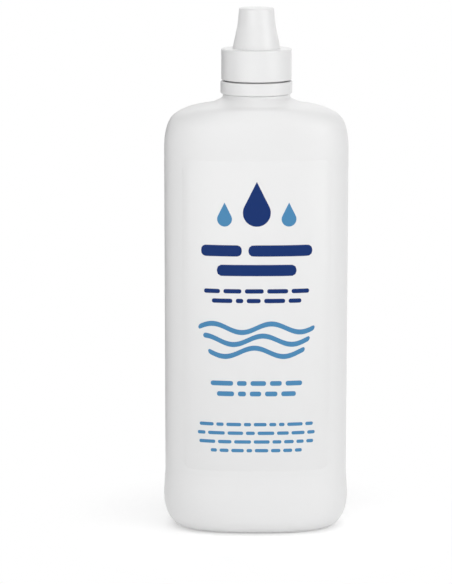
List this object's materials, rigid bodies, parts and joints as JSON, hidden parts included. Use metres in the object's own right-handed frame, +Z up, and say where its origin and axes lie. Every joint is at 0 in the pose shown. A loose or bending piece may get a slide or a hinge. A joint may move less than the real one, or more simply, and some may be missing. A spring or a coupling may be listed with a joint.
{
  "type": "contact lens solution bottle",
  "caption": "Oval white squeeze bottle with rounded shoulders, a dropper nozzle, and a screw cap with a tall cone over a break-away tamper band.",
  "frame": {"origin": "middle of the foot, on the surface the bottle stands on", "axes": "+Z up along the cap's axis, +X across the wide face, -Y out of the front label"},
  "size_m": [0.0736, 0.0432, 0.2069],
  "materials": {
    "bottle_plastic": "satin",
    "cap_plastic": "satin",
    "nozzle_plastic": "satin",
    "label_film": "satin"
  },
  "bodies": {
    "squeeze_bottle": {"bottle": "bottle_plastic", "dropper_nozzle": "nozzle_plastic", "front_label": "label_film", "back_label": "label_film"},
    "band": {"tamper_band": "cap_plastic"},
    "cap": {"screw_cap": "cap_plastic"}
  },
  "joints": [
    {"name": "cap_turn", "type": "hinge", "parent": "squeeze_bottle", "child": "band", "pos_m": [0, 0, 0.1756], "axis": [0, 0, 1], "range_deg": [0, 540]},
    {"name": "cap_lift", "type": "slide", "parent": "band", "child": "cap", "axis": [0, 0, 1], "range_m": [0, 0.0048]}
  ],
  "couplings": [
    {"joint": "cap_lift", "follows": "cap_turn", "m_per_rad": 0.00050929}
  ]
}
